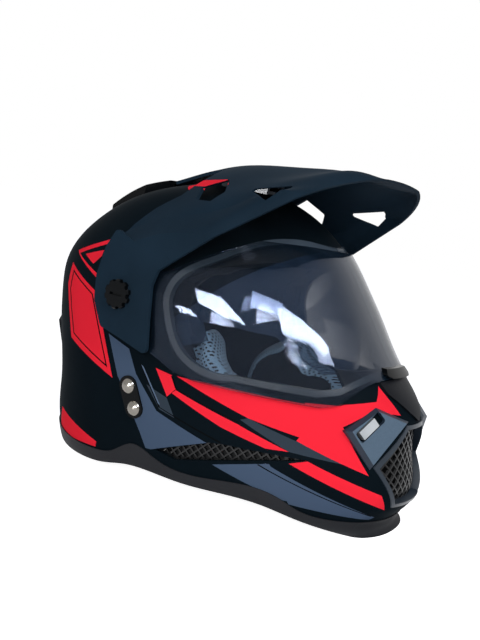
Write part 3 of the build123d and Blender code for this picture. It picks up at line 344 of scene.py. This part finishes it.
finish = {name: makeMoulded(name, *look) for name, look in mouldedLooks.items()}
finish["chromePlatedSteel"] = makePlatedSteel()
wears = {
    "mouldedRubberTrim": ["bottom_trim"],
    "extrudedSealRubberPaintedSheen": ["eyeport_gasket"],
    "polishedMouldedAbs": ["peak_screw_right", "peak_screw_left", "shield_tab", "rivet_washer_right",
                           "rivet_washer_left", "top_vent_cover"],
    "texturedMouldedAbs": ["sun_visor_pin_right", "sun_visor_pin_left", "pivot_plate_right",
                           "pivot_plate_left", "strap_tongue", "nose_trim", "top_vent_slider",
                           "rear_spoiler", "sun_visor_lever", "breath_deflector"],
    "erodedSlateAbs": ["chin_grille_frame", "crown_scoop"],
    "silverLacqueredAbs": ["buckle_lever", "vent_slider_right", "vent_slider_left"],
    "mouldedNylonGrille": ["chin_grille", "side_grille_right", "side_grille_left"],
    "beadedPolystyrene": ["eps_liner", "chin_foam", "cheek_foam_right", "cheek_foam_left"],
    "chromePlatedSteel": ["strap_rivets", "buckle_body"],
}
for name, pieces in wears.items():
    for piece in pieces:
        dress(piece, finish[name])
podPaint = makePodPaint()
for side in ("right", "left"):
    dress(f"vent_pod_{side}", podPaint)
for piece, look in sheetLooks.items():
    dress(piece, makeSheet(look))
print("rigid pieces dressed")


# Two families of yarns, each with its direction across; a hole stays open where neither has a yarn.
# The holes are drawn a little coarser than real ones, so that they show.
netLook = {"roughness": 0.85, "sheen": 0.2, "holeMm": 2.8, "across": [(0.5, 0.6, 0.62), (0.5, 0.6, -0.62)],
           "edge": (0.58, 0.78), "yarn": ("#78a8d0", "#b0daff"), "gap": "#141b24",
           "strandPerMm": 1.8, "relief": 0.9, "reliefDepth": 0.6 * mm}


def makeNetCloth():
    # Knitted spacer mesh over foam: pale yarns that cross in diamonds round dark holes
    look = netLook
    material, tree, shader, place = newMaterial("knittedSpacerMesh", Roughness=look["roughness"],
                                                Sheen_Weight=look["sheen"])
    yarns = []
    for across in look["across"]:
        step = tuple(math.pi * part / look["holeMm"] for part in across)
        along = addNode(tree, "ShaderNodeVectorMath", {0: place, 1: step},
                        operation="DOT_PRODUCT").outputs[1]
        wave = addNode(tree, "ShaderNodeMath", {0: along}, operation="SINE")
        yarns.append(addNode(tree, "ShaderNodeMath", {0: wave}, operation="ABSOLUTE"))
    nearest = addNode(tree, "ShaderNodeMath", {0: yarns[0], 1: yarns[1]}, operation="MAXIMUM")
    low, high = look["edge"]
    knit = addNode(tree, "ShaderNodeMapRange", {0: nearest, 1: low, 2: high})
    strands = addNode(tree, "ShaderNodeTexNoise",
                      {"Vector": place, "Scale": look["strandPerMm"], "Detail": 2.0})
    dark, light = (toLinear(tone) for tone in look["yarn"])
    yarn = addNode(tree, "ShaderNodeMix", {0: strands, 6: dark, 7: light}, data_type="RGBA").outputs[2]
    colour = addNode(tree, "ShaderNodeMix", {0: knit, 6: toLinear(look["gap"]), 7: yarn}, data_type="RGBA")
    tree.links.new(colour.outputs[2], shader.inputs["Base Color"])
    bump = addNode(tree, "ShaderNodeBump", {"Height": knit, "Strength": look["relief"],
                                            "Distance": look["reliefDepth"]})
    tree.links.new(bump.outputs[0], shader.inputs["Normal"])
    return material


liningLook = {"roughness": 0.9, "sheen": 0.1, "ior": 1.2, "pilePerMm": 1.6, "tones": ("#07080a", "#191c21"),
              "relief": 0.5, "reliefDepth": 0.4 * mm}


def makeLiningCloth():
    # Brushed polyester lining: soft black pile, clumps about 0.6 mm wide
    look = liningLook
    material, tree, shader, place = newMaterial("brushedPolyesterLining", Roughness=look["roughness"],
                                                Sheen_Weight=look["sheen"], IOR=look["ior"])
    pile = addNode(tree, "ShaderNodeTexNoise", {"Vector": place, "Scale": look["pilePerMm"], "Detail": 4.0})
    dark, light = (toLinear(tone) for tone in look["tones"])
    colour = addNode(tree, "ShaderNodeMix", {0: pile, 6: dark, 7: light}, data_type="RGBA")
    tree.links.new(colour.outputs[2], shader.inputs["Base Color"])
    bump = addNode(tree, "ShaderNodeBump", {"Height": pile, "Strength": look["relief"],
                                            "Distance": look["reliefDepth"]})
    tree.links.new(bump.outputs[0], shader.inputs["Normal"])
    return material


# Diagonal bands of the wave texture repeat every 0.36 / waveScale millimetres, here about 1.8
webbingLook = {"roughness": 0.7, "sheen": 0.2, "waveScale": 0.2, "waver": 0.6,
               "tones": ("#0b0c0d", "#25272a"), "relief": 0.6, "reliefDepth": 0.5 * mm}


def makeWebbing():
    # Woven polyester webbing: fine ribs that run across the strap
    look = webbingLook
    material, tree, shader, place = newMaterial("wovenPolyesterWebbing", Roughness=look["roughness"],
                                                Sheen_Weight=look["sheen"])
    ribs = addNode(tree, "ShaderNodeTexWave",
                   {"Vector": place, "Scale": look["waveScale"], "Distortion": look["waver"]},
                   wave_type="BANDS", bands_direction="DIAGONAL")
    dark, light = (toLinear(tone) for tone in look["tones"])
    colour = addNode(tree, "ShaderNodeMix", {0: ribs, 6: dark, 7: light}, data_type="RGBA")
    tree.links.new(colour.outputs[2], shader.inputs["Base Color"])
    bump = addNode(tree, "ShaderNodeBump", {"Height": ribs, "Strength": look["relief"],
                                            "Distance": look["reliefDepth"]})
    tree.links.new(bump.outputs[0], shader.inputs["Normal"])
    return material


netCloth, liningCloth, webbing = makeNetCloth(), makeLiningCloth(), makeWebbing()


def applyAll(piece):
    bpy.context.view_layer.update()
    graph = bpy.context.evaluated_depsgraph_get()
    mesh = bpy.data.meshes.new_from_object(piece.evaluated_get(graph))
    piece.modifiers.clear()
    piece.data = mesh


def copyOfNode(name, newName, voxel):
    mesh = nodes[name].data.copy()
    mesh.materials.clear()
    piece = bpy.data.objects.new(newName, mesh)
    scene.collection.objects.link(piece)
    remesh = piece.modifiers.new("remesh", "REMESH")
    remesh.mode = "VOXEL"
    remesh.voxel_size = voxel
    applyAll(piece)
    return piece


def moveVertices(piece, rule):
    # Asks the rule for every move before the first is made, as moves change the normals
    moves = [rule(v) for v in piece.data.vertices]
    for v, move in zip(piece.data.vertices, moves):
        v.co += move
    piece.data.update()


def puffUp(piece, look):
    # Inflates the pad like cloth over foam, and caps how far each point moves
    rest = [v.co.copy() for v in piece.data.vertices]
    cloth = piece.modifiers.new("cloth", "CLOTH")
    cloth.settings.use_pressure = True
    cloth.settings.uniform_pressure_force = look["pressure"]
    cloth.settings.effector_weights.gravity = 0
    cloth.settings.quality = look["quality"]
    cloth.point_cache.frame_start = 1
    cloth.point_cache.frame_end = look["frames"]
    for step in range(1, look["frames"] + 1):
        scene.frame_set(step)
    applyAll(piece)
    scene.frame_set(1)
    for v, start in zip(piece.data.vertices, rest):
        move = v.co - start
        if move.length > look["mostMove"]:
            v.co = start + move.normalized() * look["mostMove"]


def smoothOver(piece, levels=1):
    finer = piece.modifiers.new("finer", "SUBSURF")
    finer.levels = finer.render_levels = levels
    applyAll(piece)
    for face in piece.data.polygons:
        face.use_smooth = True


def keepAs(piece, material, replaced):
    piece.data.materials.clear()
    piece.data.materials.append(material)
    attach(piece, "helmet")
    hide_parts(replaced)


# The pad starts smaller by "shrink" and is blown up again; its seam lies where the lean passes seamLean
cheekLook = {"voxel": 4.5 * mm, "shrink": 1.6 * mm, "pressure": 4.0, "frames": 20, "quality": 4,
             "mostMove": 5.0 * mm, "seamDepth": 1.3 * mm, "seamLean": 0.86, "seamWidth": 0.07,
             "evenRounds": 40}


def evenLeans(piece, inward, rounds):
    # How far each vertex faces the cheek, evened out with its neighbours so that the seam runs smoothly
    mesh = piece.data
    leans = numpy.array([v.normal.x * inward for v in mesh.vertices])
    ends = numpy.array([edge.vertices[:] for edge in mesh.edges])
    start, end, count = ends[:, 0], ends[:, 1], len(leans)
    neighbours = numpy.bincount(ends.ravel(), minlength=count)
    for step in range(rounds):
        around = numpy.bincount(start, leans[end], count) + numpy.bincount(end, leans[start], count)
        leans = (leans + around / neighbours) / 2
    return leans.tolist()


def makeCheekPad(side):
    look = cheekLook
    inward = 1 if side == "right" else -1
    pad = copyOfNode(f"cheek_pad_{side}", f"cheekPad_{side}", look["voxel"])
    moveVertices(pad, lambda v: -v.normal * look["shrink"])
    puffUp(pad, look)
    smoothOver(pad, 2)
    leans = evenLeans(pad, inward, look["evenRounds"])

    def groove(v):
        # The face cloth meets the side band in a groove, where the surface turns away from the cheek
        off = (leans[v.index] - look["seamLean"]) / look["seamWidth"]
        return -v.normal * look["seamDepth"] * math.exp(-off * off)

    moveVertices(pad, groove)
    keepAs(pad, netCloth, f"cheek_pad_{side}")
    pad.data.materials.append(liningCloth)
    for face in pad.data.polygons:
        lean = sum(leans[i] for i in face.vertices) / len(face.vertices)
        face.material_index = int(lean > look["seamLean"])


# Stitched channels run down from the crown, all round an upright line at centreY
crownLook = {"voxel": 5.0 * mm, "channels": 12, "channelDepth": 1.8 * mm, "channelWidth": 0.22,
             "inset": 0.3 * mm, "centreY": 37.7 * mm}


def makeCrownPad():
    look = crownLook
    crown = copyOfNode("crown_pad", "crownLining", look["voxel"])
    smoothOver(crown)

    def sewn(v):
        turn = math.atan2(v.co.x, v.co.y - look["centreY"])
        off = math.sin(turn * look["channels"] / 2) / look["channelWidth"]
        return -v.normal * (look["channelDepth"] * math.exp(-off * off) + look["inset"])

    moveVertices(crown, sewn)
    keepAs(crown, liningCloth, "crown_pad")


neckLook = {"voxel": 4.0 * mm, "inset": 0.4 * mm, "crumple": 0.25 * mm, "crumpleSize": 17 * mm}


def makeNeckRoll():
    look = neckLook
    roll = copyOfNode("neck_roll", "neckRoll", look["voxel"])
    smoothOver(roll)

    def crumpled(v):
        return v.normal * (look["crumple"] * noise.noise(v.co / look["crumpleSize"]) - look["inset"])

    moveVertices(roll, crumpled)
    keepAs(roll, liningCloth, "neck_roll")


curtainLook = {"voxel": 1.6 * mm}


def makeChinCurtain():
    curtain = copyOfNode("chin_curtain", "chinCurtain", curtainLook["voxel"])
    smoothOver(curtain, 0)
    keepAs(curtain, liningCloth, "chin_curtain")


strapLook = {"voxel": 0.9 * mm}


def makeStrap(side):
    strap = copyOfNode(f"chin_strap_{side}", f"webbing_{side}", strapLook["voxel"])
    smoothOver(strap, 0)
    keepAs(strap, webbing, f"chin_strap_{side}")


for side in ("right", "left"):
    makeCheekPad(side)
makeCrownPad()
makeNeckRoll()
makeChinCurtain()
for side in ("right", "left"):
    makeStrap(side)
print("soft goods made")

# The photograph's own view: angles in degrees, the lens in millimetres, the rest in metres
view = {"turn": -60.4, "rise": 7.3, "roll": 10.8, "away": 0.742, "target": (0, 0.0045, 0.1367), "lens": 45.56}


def makeCamera():
    turn, rise, roll = (math.radians(view[key]) for key in ("turn", "rise", "roll"))
    back = Vector((math.sin(turn) * math.cos(rise), -math.cos(turn) * math.cos(rise), math.sin(rise)))
    level = Vector((0, 0, 1)).cross(back).normalized()
    upward = back.cross(level)
    right = level * math.cos(roll) + upward * math.sin(roll)
    up = upward * math.cos(roll) - level * math.sin(roll)
    camera = bpy.data.objects.new("camera", bpy.data.cameras.new("camera"))
    scene.collection.objects.link(camera)
    rotation = Matrix((right, up, back)).transposed().to_4x4()
    camera.matrix_world = Matrix.Translation(Vector(view["target"]) + back * view["away"]) @ rotation
    camera.data.lens = view["lens"]
    scene.camera = camera


studio = {
    "ambient": 0.20, "ambientTint": "#dfeaff", "paper": "#e8e8e8", "paperLift": 0.92, "floorReach": 8.0,
    "aim": (0, 0, 0.15), "photoSize": (480, 640),
    # Each window that the shield mirrors: the pixels of the photograph where its corners show, how
    # far it stands from the shield, its radiance and its tint
    "windows": {
        "longWindow": ([(194.3, 288.7), (221.4, 297.5), (245.6, 325), (225.8, 317.3), (198.3, 303)],
                       1.2, 90, "#ffffff"),
        "frontWindow": ([(277.5, 308.5), (284, 307.4), (330.3, 351.4), (322.6, 356.9), (283, 333.8)],
                        0.2, 90, "#ffffff"),
        "lowWindow": ([(285.9, 353.6), (307.2, 364.6), (305, 366.8), (288.5, 358)], 0.32, 90, "#ffffff"),
        "skyWindow": ([(253, 291), (284, 304), (276.4, 314), (250, 306.3)], 1.2, 42, "#e6eeff"),
        "rearWindow": ([(174.8, 305.2), (188.4, 307.4), (196.8, 316.9), (179.6, 311.8)],
                       1.2, 80, "#ffffff"),
    },
    # Place, size and radiance of each softbox; they light the matte surfaces and nothing mirrors them
    "softboxes": {
        "sideKey": ((-1.22, -0.30, 0.44), (0.6, 0.5), 6.9),
        "frontKey": ((-0.46, -0.97, 0.80), (0.6, 0.5), 5.7),
        "skyKey": ((-0.70, -0.74, 0.95), (0.5, 0.5), 2.4),
        "sideBox": ((-1.7, 0.3, 1.3), (1.4, 1.0), 0.35),
        "frontBox": ((0.5, -2.0, 1.3), (1.2, 1.0), 0.5),
        "rearBox": ((0.6, 2.0, 1.5), (1.2, 1.0), 0.8),
    },
}


def addSoftbox(name, place, size, radiance):
    lamp = bpy.data.lights.new(name, "AREA")
    lamp.shape = "RECTANGLE"
    lamp.size, lamp.size_y = size
    lamp.energy = radiance * math.pi * size[0] * size[1]
    thing = bpy.data.objects.new(name, lamp)
    thing.visible_glossy = False
    scene.collection.objects.link(thing)
    back = (Vector(place) - Vector(studio["aim"])).normalized()
    across = (Vector((0, 0, 1)) - back * back.z).normalized()
    rotation = Matrix((across, back.cross(across), back)).transposed().to_4x4()
    thing.matrix_world = Matrix.Translation(Vector(place)) @ rotation


def emptyTree(owner):
    owner.use_nodes = True
    owner.node_tree.nodes.clear()
    return owner.node_tree


def addCard(name, corners, materialName):
    # One flat face, and the empty node tree of its material
    mesh = bpy.data.meshes.new(name)
    mesh.from_pydata(corners, [], [tuple(range(len(corners)))])
    card = bpy.data.objects.new(name, mesh)
    scene.collection.objects.link(card)
    material = bpy.data.materials.new(materialName)
    mesh.materials.append(material)
    return card, emptyTree(material)


def mirroredPlace(pixel, away):
    # The place, this far from the shield, that the shield mirrors at a pixel of the photograph
    camera, shield = scene.camera, nodes["face_shield"]
    wide, high = studio["photoSize"]
    focal = camera.data.lens / camera.data.sensor_width * high  # in pixels, as the sensor spans the height
    aim = Vector(((pixel[0] - wide / 2) / focal, (high / 2 - pixel[1]) / focal, -1))
    ray = (camera.matrix_world.to_3x3() @ aim).normalized()
    _, spot, _, index = shield.ray_cast(camera.matrix_world.translation, ray)
    face = shield.data.polygons[index]
    shares = interpolate.poly_3d_calc([shield.data.vertices[i].co for i in face.vertices], spot)
    normal = Vector()
    for share, corner in zip(shares, face.loop_indices):
        normal += shield.data.corner_normals[corner].vector * share
    return spot + ray.reflect(normal.normalized()) * away


def addWindow(name, pixels, away, radiance, tint):
    # A card of the window's own outline for gloss alone, which the camera doesn't see
    card, tree = addCard(name, [mirroredPlace(pixel, away) for pixel in pixels], name)
    glow = addNode(tree, "ShaderNodeEmission", {"Color": toLinear(tint), "Strength": radiance})
    addNode(tree, "ShaderNodeOutputMaterial", {"Surface": glow})
    card.visible_camera = False
    card.visible_diffuse = False
    card.visible_shadow = False


def seenDirectly(tree):
    # 1 for what the camera, a gloss or a clear sheet shows, 0 for what lights the object
    path = addNode(tree, "ShaderNodeLightPath").outputs
    bounced = addNode(tree, "ShaderNodeMath", {0: path["Is Glossy Ray"], 1: path["Is Transmission Ray"]},
                      operation="MAXIMUM")
    return addNode(tree, "ShaderNodeMath", {0: path["Is Camera Ray"], 1: bounced}, operation="MAXIMUM")


def makeWorld():
    world = bpy.data.worlds.new("studio")
    scene.world = world
    tree = emptyTree(world)
    seen = seenDirectly(tree)
    soft = addNode(tree, "ShaderNodeBackground", {"Color": toLinear(studio["ambientTint"]),
                                                  "Strength": studio["ambient"]})
    white = addNode(tree, "ShaderNodeBackground", {"Color": (1, 1, 1, 1), "Strength": 1.0})
    both = addNode(tree, "ShaderNodeMixShader", {0: seen, 1: soft, 2: white})
    addNode(tree, "ShaderNodeOutputWorld", {"Surface": both})


def makeFloor():
    reach = studio["floorReach"]
    corners = [(-reach, -reach, 0), (reach, -reach, 0), (reach, reach, 0), (-reach, reach, 0)]
    floor, tree = addCard("floor", corners, "seamlessPaper")
    lift = addNode(tree, "ShaderNodeMath", {0: seenDirectly(tree), 1: studio["paperLift"]},
                   operation="MULTIPLY")
    glow = addNode(tree, "ShaderNodeEmission", {"Strength": lift})
    paper = addNode(tree, "ShaderNodeBsdfDiffuse", {"Color": toLinear(studio["paper"])})
    both = addNode(tree, "ShaderNodeAddShader", {0: glow, 1: paper})
    addNode(tree, "ShaderNodeOutputMaterial", {"Surface": both})


makeCamera()
makeWorld()
makeFloor()
bpy.context.view_layer.update()
for name, window in studio["windows"].items():
    addWindow(name, *window)
for name, softbox in studio["softboxes"].items():
    addSoftbox(name, *softbox)
scene.view_settings.view_transform = "Standard"
print("camera, light and floor set")
